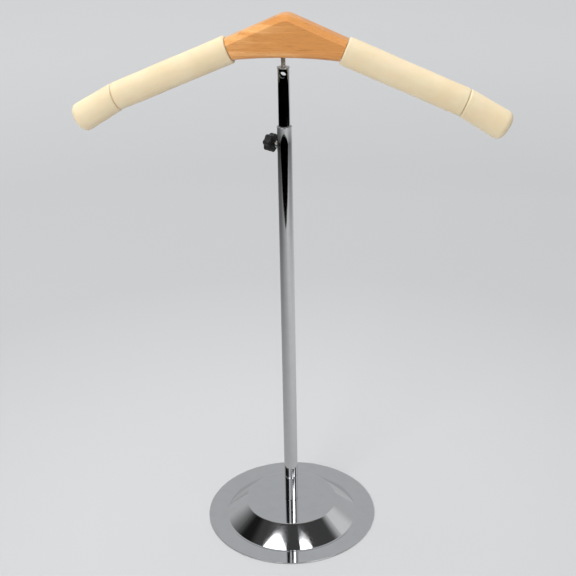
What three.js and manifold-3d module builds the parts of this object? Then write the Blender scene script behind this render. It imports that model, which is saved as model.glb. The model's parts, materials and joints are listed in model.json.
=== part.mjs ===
// A countertop garment stand: a chromed dish base, a two-stage telescopic pole held by a
// clamp knob, and a wooden hanger block with foam-covered arms.
// Millimetres, +Z up. The origin is on the pole's axis, in the plane that the rim rests on.
// The hanger lies along X, and its front faces -Y.

import * as THREE from "three";
import { mergeVertices } from "three/addons/utils/BufferGeometryUtils.js";
import Module from "manifold-3d";

const wasm = await Module();
wasm.setup();

// ---------------------------------------------------------------- clearances
const touchGap = 0.3;          // between pieces that touch or seat on each other
const boreGap = 0.3;           // between a fixed shaft and its hole, on the radius
const roundSides = 36;         // sides of a small turned piece
const wideSides = 72;          // sides of the base

// ---------------------------------------------------------------- base
const baseRadius = 102;
const flangeInnerRadius = 77.9;
const plateauRadius = 53.6;
const plateauHeight = 20.4;    // top of the dish above the table
const dishSheet = 1.5;
const shoulderRadius = 5;      // bend where the plateau turns into the cone
const creaseRadius = 1.6;      // bend where the cone meets the flange
const ballastRadius = 48;
const ballastThickness = 13;
const counterboreRadius = 10;
const counterboreDepth = 8;

// ---------------------------------------------------------------- base bolt, M6
const boltRadius = 3;
const boltHeadFlats = 10;
const boltHeadHeight = 4;
const boltEngagement = 14;     // length of shank inside the foot plug
const washerRadius = 8;
const washerThickness = 1.6;
const springWasherRadius = 5.6;
const springWasherThickness = 1.6;
const springWasherSplit = 1.4;
const footPlugLength = 20;

// ---------------------------------------------------------------- pole
const outerTubeRadius = 8;
const outerTubeWall = 1.2;
const outerTubeTop = 493.9;
const outerLip = 0.35;         // how far the rolled mouth stands out
const outerLipHeight = 0.9;
const tubeSlideFit = 0.45;     // between the two tubes, on the radius
const innerTubeWall = 1;
const innerTubeLength = 400;
const innerTubeTop = 555.6;
const crossHoleRadius = 3.3;
const crossHoleDrop = 6;       // from the tube's end to the hole's axis
const guideCollarHeight = 12;
const guideSpigotLength = 10;
const guideBoreRadius = 3;
const slideGap = 0.3;          // between the guide collar and the outer tube, on the radius

// ---------------------------------------------------------------- clamp, M5
const clampHeight = 472;
const clampAngle = 145;        // degrees from +X, so behind the pole on the left
const clampScrewRadius = 2.5;
const clampNutRadius = 4.2;
const clampNutLength = 6.6;
const padRadius = 2.4;
const padThickness = 1.2;
const knobRadius = 9.2;
const knobLobes = 7;
const knobLobeHeight = 0.9;
const knobThickness = 8.4;
const knobEdge = 0.9;
const knobRestGap = 0.6;       // between the nut and the knob when clamped
const screwHeadFlats = 8;
const screwHeadHeight = 3.5;
const screwHeadDepth = 4.8;    // depth of the knob's pocket
const knobCapThickness = 1;

// ---------------------------------------------------------------- hanger
const hangerOffset = 3.8;      // middle of the hanger from the pole's axis
const plugFlangeRadius = 6.8;
const plugFlangeThickness = 0.8;
const plugDepth = 2;
const studRadius = 2.5;
const studBelowPlug = 1.2;     // length of stud that shows under the plug
const studInBlock = 12;
const insertRadius = 4;
const insertLength = 14;
const blockThickness = 25;
const blockBevel = 5;
const blockPeak = 607.2;       // peak of the front face
const blockPeakRound = 12;
const blockSlope = 23.5;       // degrees, upper edge
const blockHalfLength = 58.6;  // to the upper corners of the front face
const blockArchMiddle = 572.4; // lower edge of the front face at the middle
const blockArchDrop = 3.4;     // the lower edge's fall towards the ends
const armSlope = 22.8;         // degrees
const armAxisHeight = 599.2;   // where the two arm axes cross
const armStart = 64.3;         // from there to the foam, along the arm
const sleeveLength = 133.2;
const sleeveRadius = 15;
const coreRadius = 9;
const tenonRadius = 6;
const tenonLength = 15;
const tipBend = 7.8;           // degrees that the tip droops past the arm
const tipLength = 51;
const tipRadius = 16.2;        // at the far end
const tipEdgeRadius = 6.5;
const coreInTip = 34;

const steel = { color: 0xc9ccd0, roughness: 0.12, metalness: 1 };
const plainSteel = { color: 0x9a9da0, roughness: 0.35, metalness: 1 };
const castIron = { color: 0x3b3b3d, roughness: 0.8, metalness: 0.6 };
const brass = { color: 0xb89a55, roughness: 0.35, metalness: 1 };
const blackPlastic = { color: 0x161616, roughness: 0.45, metalness: 0 };
const nylon = { color: 0xe6e2d6, roughness: 0.5, metalness: 0 };
const beech = { color: 0xc98f55, roughness: 0.45, metalness: 0 };
const foam = { color: 0xf3e3c3, roughness: 0.9, metalness: 0 };

const radians = THREE.MathUtils.degToRad;

// ================================================================ shape helpers

/** Merges shared corners, drops collapsed triangles and turns the faces outwards. */
function closed(geometry) {
  const bare = new THREE.BufferGeometry();
  bare.setAttribute("position", geometry.getAttribute("position"));
  bare.setIndex(geometry.getIndex());
  const merged = mergeVertices(bare, 1e-4);
  const index = merged.getIndex().array;
  const kept = [];
  for (let i = 0; i < index.length; i += 3) {
    const [a, b, c] = [index[i], index[i + 1], index[i + 2]];
    if (a !== b && b !== c && c !== a) kept.push(a, b, c);
  }
  merged.setIndex(kept);
  return signedVolume(merged) < 0 ? turnedInsideOut(merged) : merged;
}

/** The volume that a closed mesh holds, negative where its faces point inwards. */
function signedVolume(geometry) {
  const index = geometry.getIndex().array;
  const corners = geometry.getAttribute("position");
  const [a, b, c] = [new THREE.Vector3(), new THREE.Vector3(), new THREE.Vector3()];
  let total = 0;
  for (let i = 0; i < index.length; i += 3) {
    a.fromBufferAttribute(corners, index[i]);
    b.fromBufferAttribute(corners, index[i + 1]);
    c.fromBufferAttribute(corners, index[i + 2]);
    total += a.dot(b.cross(c)) / 6;
  }
  return total;
}

/** The same mesh with every triangle facing the other way. */
function turnedInsideOut(geometry) {
  const index = Array.from(geometry.getIndex().array);
  for (let i = 0; i < index.length; i += 3) {
    [index[i + 1], index[i + 2]] = [index[i + 2], index[i + 1]];
  }
  geometry.setIndex(index);
  return geometry;
}

/** A solid for joining and cutting, from a closed geometry. */
function solid(geometry) {
  const shut = closed(geometry);
  return new wasm.Manifold(new wasm.Mesh({
    numProp: 3,
    vertProperties: Float32Array.from(shut.getAttribute("position").array),
    triVerts: Uint32Array.from(shut.getIndex().array),
  }));
}

/** The geometry of a joined or cut solid. */
function shell(manifold) {
  const { vertProperties, triVerts } = manifold.getMesh();
  const geometry = new THREE.BufferGeometry();
  geometry.setAttribute("position", new THREE.BufferAttribute(vertProperties, 3));
  geometry.setIndex(Array.from(triVerts));
  return geometry;
}

/** The first geometry less all the others. */
function cut(body, ...tools) {
  const left = tools.reduce((rest, tool) => rest.subtract(solid(tool)), solid(body));
  return shell(left);
}

/** All the geometries joined into one. */
function join(first, ...others) {
  return shell(others.reduce((sum, other) => sum.add(solid(other)), solid(first)));
}

/** A closed outline of [radius, height] pairs turned about Z. */
function turned(outline, sides = roundSides) {
  const points = [...outline, outline[0]].map(([r, z]) => new THREE.Vector2(r, z));
  return closed(new THREE.LatheGeometry(points, sides).rotateX(Math.PI / 2));
}

/** A plain rod about Z. */
function rod(radius, low, high, sides = roundSides) {
  const geometry = new THREE.CylinderGeometry(radius, radius, high - low, sides);
  return geometry.rotateX(Math.PI / 2).translate(0, 0, (low + high) / 2);
}

/** A ring or a tube about Z. */
function pipe(inner, outer, low, high, sides = roundSides) {
  return turned([[inner, low], [outer, low], [outer, high], [inner, high]], sides);
}

/** A hexagonal bar about Z, measured across its flats. */
function hexagon(flats, low, high) {
  return rod(flats / Math.sqrt(3), low, high, 6);
}

/** The same shape lying along X: what was at height z is at x = z. */
function alongX(geometry) {
  return geometry.rotateY(Math.PI / 2);
}

/** Points of the arc that rounds one corner of a path of [x, y] pairs. */
function roundedCorner(before, corner, after, radius, steps) {
  const at = new THREE.Vector2(...corner);
  const back = new THREE.Vector2(...before).sub(at).normalize();
  const on = new THREE.Vector2(...after).sub(at).normalize();
  const half = Math.acos(THREE.MathUtils.clamp(back.dot(on), -1, 1)) / 2;
  const middle = back.clone().add(on).normalize();
  const centre = at.clone().addScaledVector(middle, radius / Math.sin(half));
  const start = at.clone().addScaledVector(back, radius / Math.tan(half)).sub(centre);
  const end = at.clone().addScaledVector(on, radius / Math.tan(half)).sub(centre);
  const sweep = Math.atan2(start.cross(end), start.dot(end));
  const points = [];
  for (let i = 0; i <= steps; i += 1) {
    const spoke = start.clone().rotateAround(new THREE.Vector2(), (sweep * i) / steps);
    points.push([centre.x + spoke.x, centre.y + spoke.y]);
  }
  return points;
}

/** Outline of a sheet of even thickness whose upper side follows a path of [r, z] pairs. */
function sheetOutline(path, thickness) {
  const under = path.map((point, i) => {
    const before = path[Math.max(i - 1, 0)];
    const after = path[Math.min(i + 1, path.length - 1)];
    const run = new THREE.Vector2(after[0] - before[0], after[1] - before[1]).normalize();
    return [point[0] + run.y * thickness, point[1] - run.x * thickness];
  });
  return [...path, ...under.reverse()];
}

/** A named mesh with its own material. */
function piece(name, geometry, finish) {
  const mesh = new THREE.Mesh(geometry, new THREE.MeshStandardMaterial(finish));
  mesh.name = name;
  return mesh;
}

// ================================================================ base

const plateauUnderside = plateauHeight - dishSheet;
const ballastTop = plateauUnderside - touchGap;
const counterboreRoof = ballastTop - ballastThickness + counterboreDepth;
const washerTop = counterboreRoof - touchGap;
const springWasherTop = washerTop - washerThickness - touchGap;
const boltHeadTop = springWasherTop - springWasherThickness - touchGap;
const tubeFoot = plateauHeight + touchGap;
const boltHole = boltRadius + boreGap;

/** The pressed dish: a flat flange, a cone and a plateau with a bolt hole. */
function baseDish() {
  const hole = [boltHole, plateauHeight];
  const shoulder = [plateauRadius, plateauHeight];
  const crease = [flangeInnerRadius, dishSheet];
  const rim = [baseRadius, dishSheet];
  const path = [
    hole,
    ...roundedCorner(hole, shoulder, crease, shoulderRadius, 5),
    ...roundedCorner(shoulder, crease, rim, creaseRadius, 3),
    rim,
  ];
  return turned(sheetOutline(path, dishSheet), wideSides);
}

/** The cast disc under the plateau, counterbored from below for the bolt's head. */
function ballastPlate() {
  const low = ballastTop - ballastThickness;
  return turned([
    [boltHole, counterboreRoof],
    [counterboreRadius, counterboreRoof],
    [counterboreRadius, low],
    [ballastRadius, low],
    [ballastRadius, ballastTop],
    [boltHole, ballastTop],
  ]);
}

/** A hexagon-head bolt that comes up through the base into the foot plug. */
function baseBolt() {
  const low = boltHeadTop - boltHeadHeight;
  const shank = rod(boltRadius, low + 1, tubeFoot + boltEngagement, 24);
  return join(hexagon(boltHeadFlats, low, boltHeadTop), shank);
}

/** A split spring washer. */
function springWasher() {
  const low = springWasherTop - springWasherThickness;
  const ring = pipe(boltHole, springWasherRadius, low, springWasherTop, 24);
  const split = new THREE.BoxGeometry(springWasherRadius, springWasherSplit, 2 * springWasherThickness);
  return cut(ring, split.translate(springWasherRadius, 0, springWasherTop));
}

/** The steel plug pressed into the pole's foot, tapped from below. */
function footPlug() {
  const top = tubeFoot + footPlugLength;
  const bore = tubeFoot + boltEngagement + 2;
  const radius = outerTubeRadius - outerTubeWall - touchGap;
  return turned([
    [boltHole, tubeFoot],
    [radius, tubeFoot],
    [radius, top],
    [0, top],
    [0, bore],
    [boltHole, bore],
  ], 24);
}

// ================================================================ pole

const outerBore = outerTubeRadius - outerTubeWall;
const innerTubeRadius = outerBore - tubeSlideFit;
const innerBore = innerTubeRadius - innerTubeWall;
const innerTubeFoot = innerTubeTop - innerTubeLength;
const padHole = padRadius + boreGap;

/** The fixed tube, with a rolled mouth and a hole for the pressure pad. */
function outerTube() {
  const lip = outerTubeRadius + outerLip;
  const tube = turned([
    [outerBore, tubeFoot],
    [outerTubeRadius, tubeFoot],
    [outerTubeRadius, outerTubeTop - outerLipHeight],
    [lip, outerTubeTop - outerLipHeight],
    [lip, outerTubeTop],
    [outerBore, outerTubeTop],
  ]);
  const drill = alongX(rod(padHole, innerTubeRadius, outerTubeRadius + 2, 24));
  return cut(tube, drill.rotateZ(radians(clampAngle)).translate(0, 0, clampHeight));
}

/** The nylon bush that guides the inner tube's foot and turns it centrally. */
function guideBush() {
  const collarTop = innerTubeFoot - touchGap;
  return turned([
    [guideBoreRadius, collarTop - guideCollarHeight],
    [outerBore - slideGap, collarTop - guideCollarHeight],
    [outerBore - slideGap, collarTop],
    [innerBore - boreGap, collarTop],
    [innerBore - boreGap, collarTop + guideSpigotLength],
    [guideBoreRadius, collarTop + guideSpigotLength],
  ], 24);
}

/** The sliding tube, cross-drilled near its top. */
function innerTube() {
  const tube = pipe(innerBore, innerTubeRadius, innerTubeFoot, innerTubeTop);
  const reach = innerTubeRadius + 2;
  const drill = rod(crossHoleRadius, -reach, reach, 24).rotateX(Math.PI / 2);
  return cut(tube, drill.translate(0, 0, innerTubeTop - crossHoleDrop));
}

// ================================================================ clamp
// Heights below are distances from the pole's axis, before a piece is laid along X.

const padStart = innerTubeRadius + touchGap;
const screwTip = padStart + padThickness + touchGap;
const nutStart = outerTubeRadius + touchGap;
const knobStart = nutStart + clampNutLength + knobRestGap;
const knobEnd = knobStart + knobThickness;
const pocketFloor = knobEnd - screwHeadDepth;
const headStart = pocketFloor + touchGap;
const capStart = headStart + screwHeadHeight + touchGap;
const pocketRadius = screwHeadFlats / Math.sqrt(3) + boreGap;
const screwHole = clampScrewRadius + boreGap;

/** The tapped boss welded to the outer tube, hollowed to the tube's own curve. */
function clampNut() {
  const boss = pipe(screwHole, clampNutRadius, 0, nutStart + clampNutLength, 24);
  return cut(alongX(boss), rod(nutStart, -2 * clampNutRadius, 2 * clampNutRadius));
}

/** The small disc that the screw pushes against the inner tube. */
function pressurePad() {
  return alongX(rod(padRadius, padStart, padStart + padThickness, 24));
}

/** The screw, with its hexagon head in the knob's pocket. */
function clampScrew() {
  const shank = rod(clampScrewRadius, screwTip, headStart + 1, 24);
  return alongX(join(shank, hexagon(screwHeadFlats, headStart, headStart + screwHeadHeight)));
}

/** The outline of the lobed knob. */
function knobOutline() {
  const steps = 8 * knobLobes;
  const points = [];
  for (let i = 0; i < steps; i += 1) {
    const angle = (2 * Math.PI * i) / steps;
    const radius = knobRadius - knobEdge + knobLobeHeight * Math.cos(knobLobes * angle);
    points.push(new THREE.Vector2(radius * Math.cos(angle), radius * Math.sin(angle)));
  }
  return new THREE.Shape(points);
}

/** The knob, with a through hole and a pocket for the screw's head. */
function clampKnob() {
  const block = new THREE.ExtrudeGeometry(knobOutline(), {
    depth: knobThickness - 2 * knobEdge,
    bevelThickness: knobEdge,
    bevelSize: knobEdge,
    bevelSegments: 1,
  });
  block.translate(0, 0, knobStart + knobEdge);
  const hole = rod(screwHole, knobStart - 1, knobEnd + 1, 24);
  const pocket = rod(pocketRadius, pocketFloor, knobEnd + 1, 24);
  return alongX(cut(block, hole, pocket));
}

/** The disc that closes the knob's pocket. */
function knobCap() {
  return alongX(rod(pocketRadius - boreGap, capStart, capStart + knobCapThickness, 24));
}

// ================================================================ hanger

const plugTop = innerTubeTop + touchGap + plugFlangeThickness;
const studLow = innerTubeTop - plugDepth - studBelowPlug;
const blockUnderside = blockArchMiddle - blockBevel;
const insertLow = blockUnderside + touchGap;
const armFoot = armStart - touchGap;
const sleeveEnd = armStart + sleeveLength;

/** The thin tapped plug on the inner tube, with a flange over the tube's end. */
function topPlug() {
  const hole = studRadius + boreGap;
  return turned([
    [hole, innerTubeTop - plugDepth],
    [innerBore - boreGap, innerTubeTop - plugDepth],
    [innerBore - boreGap, innerTubeTop + touchGap],
    [plugFlangeRadius, innerTubeTop + touchGap],
    [plugFlangeRadius, plugTop],
    [hole, plugTop],
  ]);
}

/** The outline of the block's front face, run past its ends, in X and Z. */
function blockOutline() {
  const run = blockHalfLength + 3 * blockBevel;
  const fall = run * Math.tan(radians(blockSlope));
  const left = [-run, blockPeak - fall];
  const right = [run, blockPeak - fall];
  const peak = roundedCorner(left, [0, blockPeak], right, blockPeakRound, 4);
  const lower = [];
  for (let i = 0; i <= 12; i += 1) {
    const x = run * (1 - i / 6);
    lower.push([x, blockArchMiddle - blockArchDrop * (x / blockHalfLength) ** 2]);
  }
  return new THREE.Shape([left, ...peak, right, ...lower].map((p) => new THREE.Vector2(...p)));
}

/** A shape made along an arm, put where the arm on one side (+1 or -1) lies. */
function ontoArm(geometry, side) {
  geometry.rotateY(radians(armSlope)).translate(0, 0, armAxisHeight);
  return side < 0 ? geometry.rotateZ(Math.PI) : geometry;
}

/** The wooden block: bevelled round its faces, square at its ends, bored for arms and stud. */
function shoulderBlock() {
  const board = new THREE.ExtrudeGeometry(blockOutline(), {
    depth: blockThickness - 2 * blockBevel,
    bevelThickness: blockBevel,
    bevelSize: blockBevel,
    bevelSegments: 2,
  });
  board.rotateX(Math.PI / 2).translate(0, blockThickness / 2 - blockBevel, 0);
  const tools = [-1, 1].flatMap((side) => {
    const beyond = new THREE.BoxGeometry(80, 80, 160).translate(armFoot - touchGap + 40, 0, 0);
    const mortise = alongX(rod(tenonRadius + boreGap, armFoot - tenonLength - 1, armFoot + 1, 24));
    return [ontoArm(beyond, side), ontoArm(mortise, side)];
  });
  const insertHole = rod(insertRadius + boreGap, blockUnderside - 10, insertLow + insertLength + 1, 24);
  return cut(board, ...tools, insertHole.translate(-hangerOffset, 0, 0));
}

/** An arm's wooden core: a tenon, a straight rod and a short end that droops with the tip. */
function armCore() {
  const tenon = alongX(rod(tenonRadius, armFoot - tenonLength, armFoot + 5, 24));
  const straight = alongX(rod(coreRadius, armFoot, sleeveEnd, 24));
  const elbow = new THREE.SphereGeometry(coreRadius, 24, 12).rotateX(Math.PI / 2);
  const end = alongX(rod(coreRadius, 0, coreInTip, 24)).rotateY(radians(tipBend));
  return join(straight, tenon, elbow.translate(sleeveEnd, 0, 0), end.translate(sleeveEnd, 0, 0));
}

/** The straight foam tube on an arm. */
function foamSleeve() {
  return alongX(pipe(coreRadius + touchGap, sleeveRadius, armStart, sleeveEnd));
}

/** The foam tip: flared, closed and rounded at its end, and cut square to the arm where it starts. */
function foamTip() {
  const back = -sleeveRadius;
  const bore = coreRadius + touchGap;
  const bottom = coreInTip + touchGap;
  const edge = roundedCorner([sleeveRadius, 0], [tipRadius, tipLength], [0, tipLength], tipEdgeRadius, 4);
  const tip = alongX(turned([
    [bore, back],
    [sleeveRadius, back],
    [sleeveRadius, 0],
    ...edge,
    [0, tipLength],
    [0, bottom],
    [bore, bottom],
  ]));
  const nearer = new THREE.BoxGeometry(60, 60, 60).translate(sleeveEnd + touchGap - 30, 0, 0);
  tip.rotateY(radians(tipBend)).translate(sleeveEnd, 0, 0);
  return cut(tip, nearer);
}

// ================================================================ assembly

const stand = new THREE.Group();

stand.add(
  piece("base_dish", baseDish(), steel),
  piece("ballast_plate", ballastPlate(), castIron),
  piece("base_bolt", baseBolt(), plainSteel),
  piece("spring_washer", springWasher(), plainSteel),
  piece("flat_washer", pipe(boltHole, washerRadius, washerTop - washerThickness, washerTop, 24), plainSteel),
  piece("foot_plug", footPlug(), plainSteel),
  piece("outer_tube", outerTube(), steel),
  piece("guide_bush", guideBush(), nylon),
  piece("inner_tube", innerTube(), steel),
  piece("top_plug", topPlug(), plainSteel),
);

const clamp = new THREE.Group();
clamp.position.z = clampHeight;
clamp.rotation.z = radians(clampAngle);
clamp.add(
  piece("clamp_nut", clampNut(), steel),
  piece("pressure_pad", pressurePad(), nylon),
  piece("clamp_screw", clampScrew(), plainSteel),
  piece("clamp_knob", clampKnob(), blackPlastic),
  piece("knob_cap", knobCap(), blackPlastic),
);

const insert = pipe(studRadius + boreGap, insertRadius, insertLow, insertLow + insertLength, 24);
stand.add(
  clamp,
  piece("hanger_stud", rod(studRadius, studLow, insertLow + studInBlock, 24), plainSteel),
  piece("block_insert", insert, brass),
);

const hanger = new THREE.Group();
hanger.position.x = hangerOffset;
hanger.add(piece("shoulder_block", shoulderBlock(), beech));
for (const [side, turn] of [["left", Math.PI], ["right", 0]]) {
  const half = new THREE.Group();
  const arm = new THREE.Group();
  half.rotation.z = turn;
  arm.position.z = armAxisHeight;
  arm.rotation.y = radians(armSlope);
  arm.add(
    piece(`arm_core_${side}`, armCore(), beech),
    piece(`foam_sleeve_${side}`, foamSleeve(), foam),
    piece(`foam_tip_${side}`, foamTip(), foam),
  );
  half.add(arm);
  hanger.add(half);
}
stand.add(hanger);

export default stand;
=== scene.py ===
"""Countertop garment stand.

A chromed dish base carries a two-stage telescopic pole with a clamp knob, and the pole carries a
wooden hanger block with foam-covered arms. Metres, +Z up; the hanger lies along X and faces -Y.
"""

import json
import logging
import math
from dataclasses import dataclass, field
from enum import Enum
from typing import Callable, Optional, Sequence, Union

import bmesh
import bpy
from bpy.types import Material
from mathutils import Matrix, Vector, noise


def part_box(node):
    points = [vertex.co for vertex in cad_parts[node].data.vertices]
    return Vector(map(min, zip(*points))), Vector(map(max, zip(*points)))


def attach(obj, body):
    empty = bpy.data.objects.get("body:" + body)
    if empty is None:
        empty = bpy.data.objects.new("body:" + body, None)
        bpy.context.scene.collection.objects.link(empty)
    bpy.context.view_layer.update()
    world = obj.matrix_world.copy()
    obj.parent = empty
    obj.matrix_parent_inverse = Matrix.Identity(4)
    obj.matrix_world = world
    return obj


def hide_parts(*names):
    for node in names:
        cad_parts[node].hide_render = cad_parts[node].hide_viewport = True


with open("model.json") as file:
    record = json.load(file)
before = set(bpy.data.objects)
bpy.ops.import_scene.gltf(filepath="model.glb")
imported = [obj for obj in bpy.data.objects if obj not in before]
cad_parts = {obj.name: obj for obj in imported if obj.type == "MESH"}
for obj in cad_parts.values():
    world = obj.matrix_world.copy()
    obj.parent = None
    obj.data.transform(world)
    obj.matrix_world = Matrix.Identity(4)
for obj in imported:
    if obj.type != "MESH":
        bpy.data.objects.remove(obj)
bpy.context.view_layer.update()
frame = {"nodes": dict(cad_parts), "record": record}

log = logging.getLogger("garment_stand")

MM = 0.001
ARM_SLOPE = math.radians(22.8)
Point = tuple[float, float]
Corner = tuple[float, float, float]
Colour = tuple[float, float, float]


class Body(str, Enum):
    """The moving bodies of the stand."""

    STAND = "stand"
    MAST = "mast"
    KNOB = "knob"


class Slot(str, Enum):
    """The record's material slots that new pieces use."""

    CHROME = "chrome"
    ZINC_STEEL = "zinc_steel"
    IRON = "iron"
    BLACK_PLASTIC = "black_plastic"
    WOOD = "wood"
    FOAM = "foam"


# ------------------------------------------------------------------ shader maths

class Reading:
    """A socket whose value can be used in an expression."""

    def __init__(self, board: "FinishBoard", socket: bpy.types.NodeSocket) -> None:
        """Wraps one output socket of a board."""
        self.board = board
        self.socket = socket

    def _sum(self, operation: str, first: "Amount", second: "Amount") -> "Reading":
        """One Math node on two values, as a new reading."""
        node = self.board.make("ShaderNodeMath", {"operation": operation}, {0: first, 1: second})
        return Reading(self.board, node.outputs[0])

    def __add__(self, other: "Amount") -> "Reading":
        """self + other."""
        return self._sum("ADD", self, other)

    __radd__ = __add__

    def __sub__(self, other: "Amount") -> "Reading":
        """self - other."""
        return self._sum("SUBTRACT", self, other)

    def __rsub__(self, other: "Amount") -> "Reading":
        """other - self."""
        return self._sum("SUBTRACT", other, self)

    def __mul__(self, other: "Amount") -> "Reading":
        """self * other."""
        return self._sum("MULTIPLY", self, other)

    __rmul__ = __mul__

    def __truediv__(self, other: "Amount") -> "Reading":
        """self / other."""
        return self._sum("DIVIDE", self, other)

    def __rtruediv__(self, other: "Amount") -> "Reading":
        """other / self."""
        return self._sum("DIVIDE", other, self)

    def clamped(self) -> "Reading":
        """The value kept between 0 and 1."""
        node = self.board.make("ShaderNodeClamp", {}, {"Value": self})
        return Reading(self.board, node.outputs[0])

    def risen(self, low: float, high: float) -> "Reading":
        """0 below low, 1 above high, and an easy slope between them."""
        even = self.board.between(low, high, self)
        return even * even * (3 - 2 * even)


Amount = Union[Reading, float, int]


class FinishBoard:
    """The node tree of one material, with a Principled shader as its end."""

    def __init__(self, name: str) -> None:
        """Makes an empty material with its shader and output."""
        self.material = bpy.data.materials.new(name)
        self.material.use_nodes = True
        self.tree = self.material.node_tree
        self.tree.nodes.clear()
        self.shader = self.make("ShaderNodeBsdfPrincipled", {}, {})
        self.make("ShaderNodeOutputMaterial", {}, {"Surface": self.shader.outputs["BSDF"]})

    def make(self, kind: str, settings: dict, inputs: dict) -> bpy.types.Node:
        """Makes one node.

        Args:
            kind: the node's type.
            settings: its properties, set first; a ramp's stops go under "stops".
            inputs: values, readings or sockets by input name or number.

        Returns:
            The new node.
        """
        node = self.tree.nodes.new(kind)
        for key, value in settings.items():
            if key == "stops":
                self._set_stops(node.color_ramp, value)
            else:
                setattr(node, key, value)
        for key, value in inputs.items():
            self._fill(self._input(node, key), value)
        return node

    def _fill(self, socket: bpy.types.NodeSocket, value: object) -> None:
        """Links a reading or a socket to an input, or sets the input's own value."""
        if isinstance(value, Reading):
            value = value.socket
        if isinstance(value, bpy.types.NodeSocket):
            self.tree.links.new(value, socket)
        else:
            socket.default_value = value

    @staticmethod
    def _input(node: bpy.types.Node, key: Union[str, int]) -> bpy.types.NodeSocket:
        """The input socket of that number, or the first one in use of that name."""
        if isinstance(key, int):
            return node.inputs[key]
        return next(socket for socket in node.inputs if socket.name == key and socket.enabled)

    @staticmethod
    def _set_stops(ramp: bpy.types.ColorRamp, stops: Sequence[tuple[float, Colour]]) -> None:
        """Gives a colour ramp its stops."""
        while len(ramp.elements) < len(stops):
            ramp.elements.new(1.0)
        for element, (place, colour) in zip(ramp.elements, stops):
            element.position = place
            element.color = (*colour, 1.0)

    def place(self, scale: Sequence[float] = (1, 1, 1), turn: Sequence[float] = (0, 0, 0),
              shift: Sequence[float] = (0, 0, 0)) -> bpy.types.NodeSocket:
        """Object coordinates, shifted, turned and scaled.

        Args:
            scale: scale of the pattern along each axis.
            turn: rotation in radians.
            shift: shift in metres.

        Returns:
            The vector socket.
        """
        where = self.make("ShaderNodeTexCoord", {}, {}).outputs["Object"]
        settings = {"vector_type": "POINT"}
        inputs = {"Vector": where, "Location": shift, "Rotation": turn, "Scale": scale}
        return self.make("ShaderNodeMapping", settings, inputs).outputs["Vector"]

    def cloud(self, vector: bpy.types.NodeSocket, scale: float, detail: float = 3.0,
              roughness: float = 0.5, distortion: float = 0.0) -> Reading:
        """Soft noise between 0 and 1."""
        inputs = {"Vector": vector, "Scale": scale, "Detail": detail, "Roughness": roughness,
                  "Distortion": distortion}
        return Reading(self, self.make("ShaderNodeTexNoise", {}, inputs).outputs[0])

    def cells(self, vector: bpy.types.NodeSocket, scale: float) -> Reading:
        """Distance to the nearest cell's middle."""
        node = self.make("ShaderNodeTexVoronoi", {}, {"Vector": vector, "Scale": scale})
        return Reading(self, node.outputs["Distance"])

    def ramp(self, amount: Reading, stops: Sequence[tuple[float, Colour]]) -> bpy.types.NodeSocket:
        """A colour read off a ramp."""
        node = self.make("ShaderNodeValToRGB", {"stops": stops}, {"Fac": amount})
        return node.outputs["Color"]

    @staticmethod
    def between(low: float, high: float, amount: Reading) -> Reading:
        """0 below low, 1 above high, and even between them."""
        return ((amount - low) / (high - low)).clamped()

    def blend(self, amount: Amount, under: object, over: object,
              how: str = "MIX") -> bpy.types.NodeSocket:
        """Mixes two colours.

        Args:
            amount: how much of the second, 0 to 1.
            under: the first colour or socket.
            over: the second colour or socket.
            how: the way they are mixed.

        Returns:
            The colour socket.
        """
        pair = [(*c, 1.0) if isinstance(c, tuple) else c for c in (under, over)]
        settings = {"data_type": "RGBA", "blend_type": how}
        node = self.make("ShaderNodeMix", settings, {"Factor": amount, "A": pair[0], "B": pair[1]})
        return next(socket for socket in node.outputs if socket.enabled)

    def emboss(self, height: Reading, strength: float, distance: float) -> None:
        """Feeds a height into the shader's normal."""
        inputs = {"Height": height, "Strength": strength, "Distance": distance}
        bump = self.make("ShaderNodeBump", {}, inputs)
        self.tree.links.new(bump.outputs["Normal"], self.shader.inputs["Normal"])

    def feed(self, **inputs: object) -> None:
        """Sets or links the shader's own sockets, written with _ for a space."""
        for key, value in inputs.items():
            socket = self.shader.inputs[key.replace("_", " ")]
            self._fill(socket, (*value, 1.0) if isinstance(value, tuple) else value)


# ------------------------------------------------------------------ finishes

@dataclass(frozen=True)
class Metal:
    """A metal finish: its colour, polish and the size of its marks."""

    name: str
    colour: Colour
    duller: Colour
    roughness: float
    uneven: float
    marks: float = 60.0
    dents: float = 0.0
    dent_scale: float = 900.0

    def mixed(self) -> Material:
        """Builds the material."""
        board = FinishBoard(self.name)
        where = board.place()
        haze = board.between(0.42, 0.68, board.cloud(where, self.marks, 4.0, 0.6))
        wiped = board.between(0.5, 0.75, board.cloud(board.place((1, 1, 0.12)), self.marks * 9, 2.0))
        board.feed(
            Base_Color=board.blend(haze, self.colour, self.duller),
            Roughness=self.roughness + haze * self.uneven + wiped * (self.uneven * 0.5),
            Metallic=1.0,
        )
        if self.dents > 0:
            board.emboss(board.cloud(where, self.dent_scale, 3.0), 0.6, self.dents)
        return board.material


@dataclass(frozen=True)
class MouldedPlastic:
    """Moulded plastic with a fine texture and rubbed high spots."""

    name: str
    colour: Colour
    rubbed: Colour
    roughness: float
    softness: float = 0.0

    def mixed(self) -> Material:
        """Builds the material."""
        board = FinishBoard(self.name)
        where = board.place()
        worn = board.between(0.48, 0.72, board.cloud(where, 180.0, 3.0))
        grain = board.cloud(where, 2600.0, 2.0)
        board.feed(
            Base_Color=board.blend(worn, self.colour, self.rubbed),
            Roughness=self.roughness + worn * 0.12,
            Subsurface_Weight=self.softness,
            Subsurface_Scale=0.002,
        )
        board.emboss(grain, 0.25, 0.00005)
        return board.material


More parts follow.
